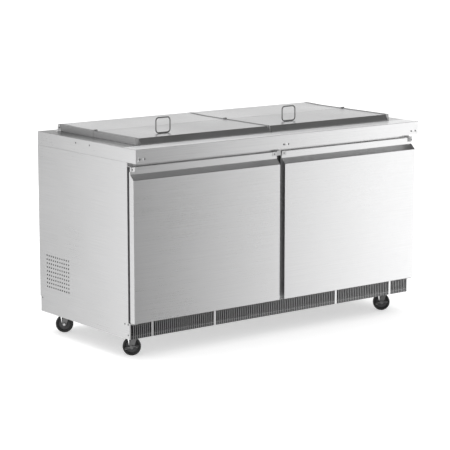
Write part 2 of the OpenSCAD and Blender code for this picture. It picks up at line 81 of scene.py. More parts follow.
# worktop: the opening over the pans, the slot in the front ledge, the turned-in foot
SHEET = 0.002
FOLD_R = 0.0016
REVEAL = 0.0008
WELL = (-0.656, 0.656, -0.234, 0.306)
LEDGE_SLOT = (0.006, 0.021, -0.3405, -0.3375)
RETURN_Y = -0.305
# screws: x along the front apron, then (y, z) on both sides of the worktop and of the base
APRON_SCREW_Z = 0.8314
APRON_SCREWS = (-0.7465, -0.7215, -0.0075, 0.0175, 0.7215, 0.7465)
SIDE_SCREWS = ((0.0696, 0.854), (-0.0335, 0.854))
BASE_SCREWS = ((0.349, 0.1495), (-0.28, 0.1495), (-0.303, 0.1495), (-0.303, 0.106))
HOLE_R, HOLE_SIDES = 0.0041, 20
# kick grille: front plane, posts, slats, the thin bar near its foot and the black sheet behind it
# (painted shade)
GRILLE_Y, GRILLE_T, GRILLE_END = -0.316, 0.0015, 0.001
GRILLE_POSTS = (-0.65375, -0.334, 0.334, 0.65375)
POST_W, SLAT_W, SLOT_PITCH = 0.012, 0.0036, 0.01
GRILLE_BAR_Z, GRILLE_BAR_H = 0.1015, 0.001
GRILLE_BAR_Y, SHADE_SHEET_Y, SHADE_SHEET_H = (0.0003, 0.0013), (0.0016, 0.0019), 0.005
# casters
TRAIL, TURN, WHEEL_R = 0.012, math.radians(-37), 0.038
TYRE_HALF, TYRE_R, TYRE_ROUND = 0.0118, 0.0335, 0.0045
# (radius, height along the axle) of half a wheel's core, and of the axle's nut
CORE = [
    (0.0042, -0.0122),
    (0.0100, -0.0122),
    (0.0112, -0.0112),
    (0.0122, -0.0070),
    (0.0235, -0.0060),
    (0.0268, -0.0084),
]
NUT = [(0, 0.0232), (0.0048, 0.0232), (0.0064, 0.0222), (0.0064, 0.0206), (0, 0.0206)]
# the bent edge of the fork's leg, about the swivel: corners of the facet, and its thickness
FORK_FACET = [(-0.032, -0.0105, 0.0855), (-0.0225, -0.0185, 0.0855), (-0.0225, -0.0185, 0.045)]
FACET_STEP = (0.0007, 0.0007, 0)
SWIVELS = {
    "front_left": (-0.69, -0.24),
    "front_right": (0.69, -0.24),
    "rear_left": (-0.69, 0.272),
    "rear_right": (0.69, 0.272),
}


# ---------------------------------------------------------------- materials


class Nodes:
    """A material's node tree with short calls for adding nodes."""

    def __init__(self, name):
        self.mat = bpy.data.materials.new(name)
        self.mat.use_nodes = True
        self.tree = self.mat.node_tree
        self.shader = self.tree.nodes["Principled BSDF"]
        coords = self.tree.nodes.new("ShaderNodeTexCoord")
        self.place, self.facing = coords.outputs["Object"], coords.outputs["Normal"]

    def feed(self, socket, value):
        if isinstance(value, bpy.types.NodeSocket):
            self.tree.links.new(value, socket)
        else:
            socket.default_value = value

    def add(self, kind, inputs=(), out=0, **settings):
        node = self.tree.nodes.new(kind)
        for key, value in settings.items():
            setattr(node, key, value)
        for key, value in dict(inputs).items():
            self.feed(node.inputs[key], value)
        return node.outputs[out]

    def math(self, op, a, b=0.0, c=0.0, clamp=False):
        return self.add("ShaderNodeMath", {0: a, 1: b, 2: c}, operation=op, use_clamp=clamp)

    def span(self, value, lo, hi, a, b):
        """value from lo..hi spread over a..b, clamped."""
        return self.add(
            "ShaderNodeMapRange",
            {"Value": value, "From Min": lo, "From Max": hi, "To Min": a, "To Max": b},
        )

    def scaled(self, x, y, z):
        return self.add("ShaderNodeMapping", {"Vector": self.place, "Scale": (x, y, z)})

    def noise(self, vector, scale, detail=3.0, rough=0.55):
        return self.add(
            "ShaderNodeTexNoise",
            {"Vector": vector, "Scale": scale, "Detail": detail, "Roughness": rough},
        )

    def mix(self, factor, a, b):
        return self.add(
            "ShaderNodeMix",
            {0: factor, 6: a, 7: b},
            out=2,
            data_type="RGBA",
        )

    def bump(self, height, strength, distance):
        return self.add(
            "ShaderNodeBump",
            {"Height": height, "Strength": strength, "Distance": distance},
        )

    def edge(self, radius):
        """0 on flat faces, up to 1 on outer edges."""
        rounded = self.add("ShaderNodeBevel", {"Radius": radius}, samples=4)
        flat = self.add("ShaderNodeNewGeometry", out=1)
        inputs = {0: rounded, 1: flat}
        along = self.add("ShaderNodeVectorMath", inputs, out=1, operation="DOT_PRODUCT")
        return self.span(along, 0.995, 0.8, 0.0, 1.0)

    def part(self, vector, axis):
        return self.add("ShaderNodeSeparateXYZ", {0: vector}, out=axis)

    def set(self, **values):
        for key, value in values.items():
            self.feed(self.shader.inputs[key.replace("_", " ")], value)
        return self.mat


def grey(value):
    return (value, value, value, 1.0)


# the worktop's wear: how matt the front ledge is; painted shade: where the side strips darken, how
# far and to which tone
LEDGE_SATIN, LEDGE_FADE = 0.62, 0.006
STRIP_X, STRIP_SHADE_Y, STRIP_SHADE, STRIP_SHADE_TONE = 0.66, (-0.15, 0.25), 0.88, 0.1


def brushed(name, tone, rough, grain=0.05, wear=True, worked_y=None):
    """Stainless sheet: fine grain along each face, faint smears, brighter rubbed edges."""
    m = Nodes(name)
    end_on = m.math("GREATER_THAN", m.math("ABSOLUTE", m.part(m.facing, 0)), 0.7)
    grain_x = m.noise(m.scaled(5, 800, 800), 1.0, 3.0, 0.6)
    grain_y = m.noise(m.scaled(800, 5, 800), 1.0, 3.0, 0.6)
    streak = m.add("ShaderNodeMix", {0: end_on, 2: grain_x, 3: grain_y})
    smear = m.noise(m.scaled(1, 1, 1), 2.3, 3.0, 0.5)
    spots = m.noise(m.scaled(1, 1, 1), 38.0, 2.0, 0.6)
    shade = m.span(streak, 0.3, 0.7, -grain, grain)
    shade = m.math("ADD", shade, m.span(smear, 0.3, 0.7, -0.02, 0.02))
    value = m.math("MULTIPLY", m.math("ADD", shade, 1.0), tone)
    blue = m.math("MULTIPLY", value, 1.004)
    colour = m.add("ShaderNodeCombineColor", {0: value, 1: value, 2: blue})
    if wear:
        rubbed = m.math("MULTIPLY", m.edge(0.0012), 0.45)
        colour = m.mix(rubbed, colour, grey(min(1.0, tone * 1.22)))
    gloss = m.span(streak, 0.3, 0.7, -0.04, 0.04)
    gloss = m.math("ADD", gloss, m.span(smear, 0.3, 0.7, -0.035, 0.035))
    gloss = m.math("ADD", gloss, m.span(spots, 0.45, 0.75, 0.0, 0.03))
    metallic = 1.0
    if worked_y is not None:
        # the top in front of the lids is rubbed to a pale satin by wiping and cutting
        depth = m.part(m.place, 1)
        ahead = m.span(depth, worked_y, worked_y - LEDGE_FADE, 0.0, 1.0)
        flat = m.math("GREATER_THAN", m.part(m.facing, 2), 0.9)
        satin = m.math("MULTIPLY", m.math("MULTIPLY", ahead, flat), LEDGE_SATIN)
        metallic = m.math("SUBTRACT", 1.0, satin)
        # and the strips beside the lids darken toward the back: painted shade
        beside = m.math("GREATER_THAN", m.math("ABSOLUTE", m.part(m.place, 0)), STRIP_X)
        painted_shade = m.math("MULTIPLY", m.span(depth, *STRIP_SHADE_Y, 0.0, STRIP_SHADE), flat)
        colour = m.mix(m.math("MULTIPLY", beside, painted_shade), colour, grey(STRIP_SHADE_TONE))
    return m.set(
        Base_Color=colour,
        Metallic=metallic,
        Roughness=m.math("ADD", gloss, rough, clamp=True),
        Normal=m.bump(streak, 0.06, 0.0002),
    )


def coated(name, colour, rough, speckle=0.0, coat=0.0, grain_scale=900.0):
    """Paint or moulded plastic: fine orange peel, slight unevenness and scuffed edges."""
    m = Nodes(name)
    peel = m.noise(m.scaled(1, 1, 1), grain_scale, 2.0, 0.5)
    cloud = m.noise(m.scaled(1, 1, 1), 9.0, 4.0, 0.6)
    base = (*colour, 1.0)
    dark = tuple(c * (0.9 - speckle) for c in colour) + (1.0,)
    light = tuple(min(1.0, c * 1.25 + 0.02) for c in colour) + (1.0,)
    shade = m.mix(m.span(cloud, 0.35, 0.7, 0.0, 0.7), base, dark)
    shade = m.mix(m.math("MULTIPLY", m.edge(0.0008), 0.5), shade, light)
    return m.set(
        Base_Color=shade,
        Metallic=0.0,
        Roughness=m.span(cloud, 0.3, 0.7, rough - 0.05, rough + 0.08),
        Normal=m.bump(peel, 0.12, 0.0001),
        Coat_Weight=coat,
    )


def rubbery(name, colour, rough):
    """Rubber or polyurethane tread: dull, dusty in the low spots, fine texture."""
    m = Nodes(name)
    fine = m.noise(m.scaled(1, 1, 1), 1400.0, 3.0, 0.7)
    dust = m.noise(m.scaled(1, 1, 1), 60.0, 5.0, 0.65)
    base = (*colour, 1.0)
    dusty = tuple(c * 1.7 + 0.012 for c in colour) + (1.0,)
    return m.set(
        Base_Color=m.mix(m.span(dust, 0.45, 0.75, 0.0, 0.8), base, dusty),
        Metallic=0.0,
        Roughness=m.span(dust, 0.3, 0.7, rough - 0.06, rough + 0.1),
        Normal=m.bump(fine, 0.25, 0.0001),
    )


STEEL = brushed("brushed_stainless", 0.74, 0.31)
TOP_STEEL = brushed("worktop_stainless", 0.74, 0.31, worked_y=-0.272)
# one stainless for both lid leaves, the front leaf darker and the rear leaf lighter: painted shade
# and painted light
FRONT_LID_SHADED = brushed("brushed_lid", 0.68, 0.31)
REAR_LID_LIT = brushed("rear_lid_painted_light", 0.77, 0.31)
CAP_STEEL = brushed("satin_cap", 0.42, 0.42)
# the grille's slats and bar: the posts' stainless made darker, painted shade
GRILLE_SHADED_STEEL = brushed("grille_steel_painted_shade", 0.38, 0.45, wear=False)
CORNER_STEEL = brushed("corner_steel", 0.6, 0.34)
FITTING = brushed("zinc_fitting", 0.52, 0.34, grain=0.03)
CASTER_ZINC = brushed("caster_zinc", 0.27, 0.42, grain=0.03)
# the caster zinc made bright: painted highlight, on the rear axle nuts and the forks' bent edges
ZINC_PAINTED_HIGHLIGHT = brushed("caster_zinc_painted_highlight", 0.86, 0.3, grain=0.02)
# the handles' stainless wire made dark: painted shade
WIRE_PAINTED_SHADE = brushed("handle_wire_painted_shade", 0.26, 0.3, grain=0.02, wear=False)
SCREW = brushed("screw_steel", 0.30, 0.38, grain=0.02)
PAN = brushed("pan_steel", 0.68, 0.25, grain=0.02)
WHITE = coated("white_liner", (0.82, 0.82, 0.81), 0.4)
SHELF = coated("shelf_coating", (0.78, 0.79, 0.78), 0.35, coat=0.3)
BLACK_PAINT = coated("black_paint", (0.018, 0.018, 0.02), 0.35, coat=0.4)
BLACK = coated("black_plastic", (0.02, 0.02, 0.02), 0.45)
GASKET = rubbery("gasket_rubber", (0.075, 0.077, 0.08), 0.6)
TREAD = rubbery("tread_rubber", (0.012, 0.012, 0.012), 0.5)
HUB = coated("wheel_core", (0.05, 0.05, 0.052), 0.45)
FINS = brushed("coil_fins", 0.75, 0.4, grain=0.08)
# near black: painted shade in the screw sockets and round the screw heads, also used on the door
# corner screws
RECESS_SHADE_BLACK = coated("recess_painted_shade_black", (0.03, 0.03, 0.03), 0.5)


# ---------------------------------------------------------------- mesh tools


def linked(bm, name, mat):
    """The mesh as a new object in the scene, with one material."""
    mesh = bpy.data.meshes.new(name)
    bm.to_mesh(mesh)
    bm.free()
    mesh.materials.append(mat)
    obj = bpy.data.objects.new(name, mesh)
    bpy.context.scene.collection.objects.link(obj)
    return obj


def obj_from(bm, name, mat, body, smooth=32, stands_for=()):
    """A finished piece: shaded, riding on its body, in place of its CAD nodes."""
    bmesh.ops.recalc_face_normals(bm, faces=bm.faces)
    obj = linked(bm, name, mat)
    obj.data.shade_smooth()
    obj.data.set_sharp_from_angle(angle=math.radians(smooth))
    flats = obj.modifiers.new("normals", "WEIGHTED_NORMAL")
    flats.weight, flats.keep_sharp = 90, True
    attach(obj, body)
    if stands_for:
        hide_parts(*stands_for)
    return obj


def mirrored(half):
    """A closed profile from its lower half: (radius, height) points, mirrored about height 0."""
    full = half + [(r, -h) for r, h in reversed(half)]
    return full + full[:1]


def round_edges(bm, width, segments=3, limit=25, pick=None):
    """Rounds every edge that turns by more than limit degrees, or those of them that pick takes."""
    sharp = [
        e
        for e in bm.edges
        if len(e.link_faces) == 2
        and e.calc_face_angle(0) > math.radians(limit)
        and (pick is None or pick(e))
    ]
    bmesh.ops.bevel(
        bm,
        geom=sharp,
        offset=width,
        segments=segments,
        profile=0.5,
        affect="EDGES",
        clamp_overlap=True,
    )


def add_prism(bm, outline, lo, hi, axis=0):
    """A solid with a closed outline (points in the two other axes), from lo to hi along axis."""

    def point(at, p):
        v = [p[0], p[1]]
        v.insert(axis, at)
        return bm.verts.new(v)

    a = [point(lo, p) for p in outline]
    b = [point(hi, p) for p in outline]
    bm.faces.new(a)
    bm.faces.new(b[::-1])
    n = len(outline)
    for i in range(n):
        bm.faces.new((a[i], b[i], b[(i + 1) % n], a[(i + 1) % n]))


def add_box(bm, lo, hi):
    outline = [(lo[1], lo[2]), (hi[1], lo[2]), (hi[1], hi[2]), (lo[1], hi[2])]
    add_prism(bm, outline, lo[0], hi[0])


def add_lathe(bm, profile, matrix, steps=48):
    """Turns a profile of (radius, height) points round matrix's Z axis."""
    rings = []
    for r, h in profile:
        turns = [2 * math.pi * k / steps for k in range(steps)] if r > 0 else [0.0]
        points = [Vector((r * math.cos(t), r * math.sin(t), h)) for t in turns]
        rings.append([bm.verts.new(matrix @ p) for p in points])
    for low, high in zip(rings, rings[1:]):
        for k in range(steps):
            j = (k + 1) % steps
            if len(low) == 1 and len(high) == 1:
                continue
            if len(low) == 1:
                bm.faces.new((low[0], high[j], high[k]))
            elif len(high) == 1:
                bm.faces.new((low[k], low[j], high[0]))
            else:
                bm.faces.new((low[k], low[j], high[j], high[k]))


def add_loop_tube(bm, centre_line, radius, sides):
    """A closed tube along a closed line of points that lies in a plane of constant Y."""
    n = len(centre_line)
    side = Vector((0, 1, 0))
    turns = [2 * math.pi * k / sides for k in range(sides)]
    rings = []
    for i, p in enumerate(centre_line):
        ahead = (centre_line[(i + 1) % n] - centre_line[i - 1]).normalized()
        out = ahead.cross(side).normalized()
        ring = [p + out * radius * math.cos(t) + side * radius * math.sin(t) for t in turns]
        rings.append([bm.verts.new(q) for q in ring])
    for i in range(n):
        a, b = rings[i], rings[(i + 1) % n]
        for k in range(sides):
            bm.faces.new((a[k], a[(k + 1) % sides], b[(k + 1) % sides], b[k]))


def rect_ring(bm, outer, profile):
    """A closed seal round a rectangle in XZ: profile has (distance in from the edge, y) points."""
    x0, x1, z0, z1 = outer
    loops = []
    for d, y in profile:
        corners = ((x0 + d, z0 + d), (x1 - d, z0 + d), (x1 - d, z1 - d), (x0 + d, z1 - d))
        loops.append([bm.verts.new((x, y, z)) for x, z in corners])
    n = len(loops)
    for i in range(n):
        a, b = loops[i], loops[(i + 1) % n]
        for k in range(4):
            j = (k + 1) % 4
            bm.faces.new((a[k], a[j], b[j], b[k]))


def rounded_outline(points, radius, steps=5):
    """A polygon's outline with its corners rounded wherever it turns by 8 degrees or more."""
    result = []
    n = len(points)
    for i in range(n):
        p, a, b = Vector(points[i]), Vector(points[i - 1]), Vector(points[(i + 1) % n])
        u, v = (a - p).normalized(), (b - p).normalized()
        turn = math.pi - u.angle(v)
        if turn < math.radians(8):
            result.append(tuple(p))
            continue
        reach = min(radius * math.tan(turn / 2), (a - p).length * 0.45, (b - p).length * 0.45)
        start, end = p + u * reach, p + v * reach
        for s in range(steps + 1):
            t = s / steps
            q = start * (1 - t) ** 2 + p * 2 * t * (1 - t) + end * t**2
            result.append(tuple(q))
    return result


def plain_shading():
    """Modifier nodes that leave out a CAD mesh's stored normals and shade it smooth."""
    group = bpy.data.node_groups.new("plain_shading", "GeometryNodeTree")
    for way in ("INPUT", "OUTPUT"):
        group.interface.new_socket("Geometry", in_out=way, socket_type="NodeSocketGeometry")
    last = group.nodes.new("NodeGroupInput")
    for stored in ("custom_normal", "sharp_edge", "sharp_face"):
        drop = group.nodes.new("GeometryNodeRemoveAttribute")
        drop.inputs["Name"].default_value = stored
        group.links.new(last.outputs[0], drop.inputs[0])
        last = drop
    group.links.new(last.outputs[0], group.nodes.new("NodeGroupOutput").inputs[0])
    return group


PLAIN_SHADING = plain_shading()


def soften(node, mat, width=0.0, segments=2):
    """A carried-over CAD node: the material, and slightly rounded edges by modifiers alone."""
    o = NODES[node]
    o.material_slots[0].material = mat
    if width:
        o.modifiers.new("shading", "NODES").node_group = PLAIN_SHADING
        weld = o.modifiers.new("weld", "WELD")
        weld.merge_threshold = 0.00002
        bevel = o.modifiers.new("edges", "BEVEL")
        bevel.width, bevel.segments = width, segments
        bevel.limit_method, bevel.angle_limit = "ANGLE", math.radians(40)
        bevel.miter_outer = "MITER_ARC"
        normal = o.modifiers.new("normals", "WEIGHTED_NORMAL")
        normal.weight = 60


# ---------------------------------------------------------------- worktop

def worktop():
    lo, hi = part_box("worktop")
    bm = bmesh.new()

    def loop(points):
        return [bm.verts.new(p) for p in points]

    def rim(verts):
        pairs = [(verts[i], verts[(i + 1) % len(verts)]) for i in range(len(verts))]
        return [bm.edges.get(p) or bm.edges.new(p) for p in pairs]

    def rect(x0, x1, y0, y1, z):
        return loop([(x0, y0, z), (x1, y0, z), (x1, y1, z), (x0, y1, z)])

    def hole(centre, u, v):
        turns = [2 * math.pi * k / HOLE_SIDES for k in range(HOLE_SIDES)]
        return loop([Vector(centre) + HOLE_R * (u * math.cos(t) + v * math.sin(t)) for t in turns])

    def sheet(*loops):
        edges = [e for verts in loops for e in rim(verts)]
        bmesh.ops.triangle_fill(bm, edges=edges, use_beauty=True)

    x, y, z = Vector((1, 0, 0)), Vector((0, 1, 0)), Vector((0, 0, 1))
    top = rect(lo.x, hi.x, lo.y, hi.y, hi.z)
    low_z = lo.z + REVEAL
    low = rect(lo.x, hi.x, lo.y, hi.y, low_z)
    sheet(top, rect(*WELL, hi.z), rect(*LEDGE_SLOT, hi.z))
    holes = [hole((at, lo.y, APRON_SCREW_Z), x, z) for at in APRON_SCREWS]
    sheet([top[0], top[1], low[1], low[0]], *holes)
    for i, j, side in ((1, 2, hi.x), (3, 0, lo.x)):
        holes = [hole((side, *at), y, z) for at in SIDE_SCREWS]
        sheet([top[i], top[j], low[j], low[i]], *holes)
    bm.faces.new((top[2], top[3], low[3], low[2]))
    back = loop([(hi.x, RETURN_Y, low_z), (lo.x, RETURN_Y, low_z)])
    bm.faces.new((low[0], low[1], back[0], back[1]))
    bmesh.ops.recalc_face_normals(bm, faces=bm.faces)
    folds = {frozenset(p) for p in zip(top + top, top[1:] + top[:1] + low)}
    round_edges(bm, FOLD_R, 4, pick=lambda e: frozenset(e.verts) in folds)
    o = obj_from(bm, "worktop_sheet", TOP_STEEL, "cabinet", 40, ["worktop"])
    thick = o.modifiers.new("thickness", "SOLIDIFY")
    thick.thickness, thick.offset = SHEET, -1.0
    o.modifiers.move(1, 0)


# ---------------------------------------------------------------- doors


def door(side, s):
    skin = side + "_door_skin"
    lo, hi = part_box(skin)
    back = hi.y - 0.0005
    body = side + "_door"
    outline = rounded_outline(
        [
            (lo.y, lo.z),
            (lo.y, BEVEL_Z0),
            (STRIP_Y, BEVEL_Z1),
            (STRIP_Y, hi.z),
            (back, hi.z),
            (back, lo.z),
        ],
        0.0022,
    )
    bm = bmesh.new()
    add_prism(bm, outline, lo.x, hi.x)
    round_edges(bm, 0.0012, 3, 40)
    obj_from(bm, side + "_door_shell", STEEL, body, 30, [skin])

    # the hinge corner, a low boss round the pin, and the thin cap at the free corner
    edge = lo.x if s < 0 else hi.x
    boss_y = 2 * PIN_Y - hi.y
    boss = [
        (0.0, back - 0.001),
        (0.0, STRIP_Y + 0.0005),
        (BOSS_LIP, boss_y),
        (BOSS_FLAT, boss_y),
        (CORNER_W, STRIP_Y - 0.0002),
        (CORNER_W, back - 0.001),
    ]
    bm = bmesh.new()
    add_prism(bm, [(edge - s * d, y) for d, y in boss], CORNER_Z0, hi.z, 2)
    free = hi.x if s < 0 else lo.x
    xa, xb = sorted((free, free + s * CORNER_W))
    add_box(bm, (xa, STRIP_Y - CAP_PROUD, CORNER_Z0), (xb, STRIP_Y + 0.001, hi.z))
    round_edges(bm, 0.0006, 2)
    obj_from(bm, side + "_door_corners", CORNER_STEEL, body, 30)
    bm = bmesh.new()
    level = (CORNER_Z0 + hi.z) / 2
    head = [(0, 0.0), (0.0016, 0.0), (0.002, 0.0005), (0.0026, 0.0004), (0.003, -0.001)]
    for x, y in ((edge - s * 0.007, boss_y), (free + s * CORNER_W / 2, STRIP_Y - CAP_PROUD)):
        out = Matrix.Translation((x, y, level)) @ Matrix.Rotation(math.radians(90), 4, "X")
        add_lathe(bm, head, out, 20)
    obj_from(bm, side + "_door_corner_screws", RECESS_SHADE_BLACK, body)

    # magnetic gasket: a bellows section run round the door
    glo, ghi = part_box(side + "_door_gasket")
    y0, y1, w = glo.y, ghi.y, GASKET_W
    profile = [
        (0.0, y0),
        (0.0, y0 + 0.004),
        (0.002, y0 + 0.006),
        (0.0, y0 + 0.008),
        (0.0005, y1 - 0.001),
        (0.002, y1),
        (w - 0.002, y1),
        (w - 0.0005, y1 - 0.001),
        (w, y0 + 0.008),
        (w - 0.004, y0 + 0.006),
        (w, y0 + 0.004),
        (w, y0),
    ]
    bm = bmesh.new()
    rect_ring(bm, (glo.x, ghi.x, glo.z, ghi.z), profile)
    obj_from(bm, side + "_door_seal", GASKET, body, 35, [side + "_door_gasket"])
    soften(side + "_door_liner", WHITE, 0.0015, 3)


# ---------------------------------------------------------------- lids


def lid(side):
    rear, front = side + "_lid_rear", side + "_lid_front"
    lo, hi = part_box(front)
    outline = [(lo.y, lo.z), (lo.y + LID_NOSE, hi.z), (hi.y, hi.z), (hi.y, lo.z)]
    bm = bmesh.new()
    add_prism(bm, rounded_outline(outline, 0.0018), lo.x, hi.x)
    round_edges(bm, 0.0008, 2, 40)
    obj_from(bm, front + "_leaf", FRONT_LID_SHADED, side + "_front_leaf", 30, [front])

    lo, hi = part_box(rear)
    r = LID_REAR_R
    turns = [math.radians(a) for a in range(12, 181, 12)]
    nose = [(hi.y - r + r * math.sin(t), lo.z + r + r * math.cos(t)) for t in turns]
    outline = [(lo.y, lo.z), (lo.y, LID_TOP), (LID_FLAT_TO, LID_TOP)] + nose
    bm = bmesh.new()
    add_prism(bm, outline, lo.x, hi.x)
    round_edges(bm, 0.0008, 2, 50)
    obj_from(bm, rear + "_leaf", REAR_LID_LIT, side + "_rear_leaf", 30, [rear])
    for part in ("_lid_rear_caps", "_lid_front_caps"):
        soften(side + part, CAP_STEEL, 0.0006)

    # handle: one closed loop of wire on two short studs
    node = side + "_lid_handle"
    lo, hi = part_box(node)
    r, b = HANDLE_R, HANDLE_BEND
    x0, x1, z0, z1 = lo.x + r, hi.x - r, LID_TOP + r, hi.z - r
    y = (lo.y + hi.y) / 2
    corners = ((x1 - b, z1 - b), (x0 + b, z1 - b), (x0 + b, z0 + b), (x1 - b, z0 + b))
    line = []
    for quarter, (cx, cz) in enumerate(corners):
        for k in range(9):
            a = math.radians(90 * quarter + 90 * k / 8)
            line.append(Vector((cx + b * math.cos(a), y, cz + b * math.sin(a))))
    bm = bmesh.new()
    add_loop_tube(bm, line, r, WIRE_SIDES)
    for dx in (-STUD_X, STUD_X):
        foot = Matrix.Translation(((x0 + x1) / 2 + dx, y, LID_TOP - STUD_SINK))
        add_lathe(bm, [(0, 0), (STUD_R, 0), (STUD_R, STUD_H), (0, STUD_H)], foot, 20)
    obj_from(bm, side + "_handle_loop", WIRE_PAINTED_SHADE, side + "_front_leaf", 40, [node])


# ---------------------------------------------------------------- casters


def caster(name):
    x, y = SWIVELS[name]
    place = Matrix.Translation((x, y, 0)) @ Matrix.Rotation(TURN, 4, "Z")
    axle = place @ Matrix.Translation((-TRAIL, 0, WHEEL_R))
    axle = axle @ Matrix.Rotation(math.radians(90), 4, "X")
    half, bend = TYRE_HALF, TYRE_ROUND
    tread = [
        (0.0265, -half + 0.0035),
        (0.0285, -half + 0.0008),
        (0.0300, -half),
        (0.0345, -half),
    ]
    for k in range(1, 7):
        a = math.radians(15 * k)
        tread.append((TYRE_R + bend * math.sin(a), -half + bend * (1 - math.cos(a))))
    bm = bmesh.new()
    add_lathe(bm, mirrored(tread), axle, 64)
    roller = name + "_roller"
    obj_from(bm, name + "_tyre", TREAD, roller, 40, [name + "_wheel"])
    bm = bmesh.new()
    add_lathe(bm, mirrored(CORE), axle, 48)
    obj_from(bm, name + "_core", HUB, roller, 30)
    soften(name + "_fork", CASTER_ZINC, 0.0004)
    # hexagon nut on the axle's outer end; the rear ones in the bright zinc, a painted highlight
    bm = bmesh.new()
    add_lathe(bm, NUT, axle, 6)
    front = name.startswith("front")
    nut = CASTER_ZINC if front else ZINC_PAINTED_HIGHLIGHT
    obj_from(bm, name + "_axle_nut", nut, name + "_swivel", 25)
    # the bent-back edge of the fork's leg, as a tapering facet in the bright zinc: a painted
    # highlight
    bm = bmesh.new()
    corners = [Vector(p) for p in FORK_FACET]
    steps = (Vector(), Vector(FACET_STEP))
    ends = [[bm.verts.new(place @ (p + step)) for p in corners] for step in steps]
    bm.faces.new(ends[0])
    bm.faces.new(ends[1][::-1])
    for k in range(3):
        j = (k + 1) % 3
        bm.faces.new((ends[0][k], ends[1][k], ends[1][j], ends[0][j]))
    obj_from(bm, name + "_fork_edge", ZINC_PAINTED_HIGHLIGHT, name + "_swivel", 25)
    if front:
        soften(name + "_brake", CASTER_ZINC, 0.0004)


# ---------------------------------------------------------------- small parts


def screw_heads():
    """Countersunk heads with a hexagon socket, one at each screw of the CAD node; near-black socket
    floors and rings round the heads are painted shade.
    """
    front_y, side_x = cad_box[0].y, cad_box[1].x
    facing_front = Matrix.Rotation(math.radians(90), 4, "X")
    places = [((at, front_y, APRON_SCREW_Z), facing_front) for at in APRON_SCREWS]
    for s in (-1, 1):
        turn = Matrix.Rotation(math.radians(90 * s), 4, "Y")
        places += [((s * side_x, *at), turn) for at in SIDE_SCREWS + BASE_SCREWS]
    heads, holes = bmesh.new(), bmesh.new()
    head = [
        (0.0019, -0.0014),
        (0.0019, -0.0003),
        (0.0028, 0.0),
        (0.0034, -0.0004),
        (0.0036, -0.001),
        (0.0036, -0.0018),
    ]
    for at, turn in places:
        m = Matrix.Translation(at) @ turn
        add_lathe(heads, head, m, 20)
        # near-black socket floor and ring in the hole round the head: painted shade
        add_lathe(holes, [(0.0020, -0.0012), (0, -0.0012)], m, 6)
        add_lathe(holes, [(HOLE_R, -0.0019), (0.003, -0.0019)], m, 20)
    obj_from(heads, "screw_heads", SCREW, "cabinet", 40, ["body_screws"])
    obj_from(holes, "screw_sockets_painted_shade", RECESS_SHADE_BLACK, "cabinet")


def hinge_plates():
    """The lids' upright hinge plates on short feet, with the pins they carry."""
    lo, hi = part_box("lid_hinge_brackets")
    y0, y1, y2 = lo.y, PLATE_BACK, MIDDLE_FOOT_BACK
    foot_z = lo.z + MIDDLE_FOOT_T
    outline = [(y0, lo.z), (y1, lo.z), (y1 - 0.003, hi.z), (y0 + 0.011, hi.z)]
    middle = [(y0, lo.z), (y2, lo.z), (y2, foot_z), (y1, hi.z), (y0, hi.z)]
    plates, pins = bmesh.new(), bmesh.new()

    def pin(x, turn, profile):
        at = Matrix.Translation((x, LID_AXIS_Y, LID_AXIS_Z))
        add_lathe(pins, profile, at @ Matrix.Rotation(math.radians(turn), 4, "Y"), 24)

    r = LID_PIN_R
    for s in (-1, 1):
        add_prism(plates, outline, *sorted(s * x for x in END_PLATE))
        a, b = sorted(s * x for x in END_FOOT)
        add_box(plates, (a, y0, lo.z), (b, y1, lo.z + FOOT_T))
        pin(s * 0.672, 90 * s, [(0, 0), (r, 0), (r, 0.0185), (r - 0.0006, 0.0195), (0, 0.0195)])
    add_prism(plates, middle, -0.0012, 0.0012)
    half = MIDDLE_FOOT_HALF
    add_box(plates, (-half, 0.330, lo.z), (half, y2, foot_z))
    pin(-0.0185, 90, [(0, 0), (r, 0), (r, 0.037), (0, 0.037)])
    round_edges(plates, 0.0004, 2, 60)
    obj_from(plates, "hinge_plates", STEEL, "cabinet", 30, ["lid_hinge_brackets"])
    obj_from(pins, "hinge_pins", SCREW, "cabinet")


def kick_grille():
    """Upright slats between light posts, over a black sheet along the foot: the sheet and the
    slats' darker steel are painted shade.
    """
    lo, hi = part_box("kick_grille")
    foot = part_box("base_frame")[0].z
    slats, posts, shade_sheet = bmesh.new(), bmesh.new(), bmesh.new()

    def upright(bm, x, width):
        back = GRILLE_Y + GRILLE_T
        add_box(bm, (x - width / 2, GRILLE_Y, foot), (x + width / 2, back, hi.z))

    def level(bm, depths, z0, z1):
        front, back = depths
        add_box(bm, (lo.x, GRILLE_Y + front, z0), (hi.x, GRILLE_Y + back, z1))

    ends = [lo.x + GRILLE_END]
    for at in GRILLE_POSTS:
        upright(posts, at, POST_W)
        ends += [at - POST_W / 2, at + POST_W / 2]
    ends.append(hi.x - GRILLE_END)
    for a, b in zip(ends[::2], ends[1::2]):
        count = round((b - a) / SLOT_PITCH)
        for k in range(1, count):
            upright(slats, a + (b - a) * k / count, SLAT_W)
    # black sheet behind the foot of the slots: painted shade
    level(shade_sheet, SHADE_SHEET_Y, foot, GRILLE_BAR_Z + SHADE_SHEET_H)
    level(slats, GRILLE_BAR_Y, GRILLE_BAR_Z, GRILLE_BAR_Z + GRILLE_BAR_H)
    # slats in the darkened steel: painted shade
    obj_from(slats, "grille_slats", GRILLE_SHADED_STEEL, "cabinet", 30, ["kick_grille"])
    obj_from(posts, "grille_posts", STEEL, "cabinet")
    obj_from(shade_sheet, "grille_painted_shade_sheet", BLACK_PAINT, "cabinet")


worktop()
kick_grille()
hinge_plates()
for side, s in SIDES:
    door(side, s)
    lid(side)
for name in SWIVELS:
    caster(name)
screw_heads()

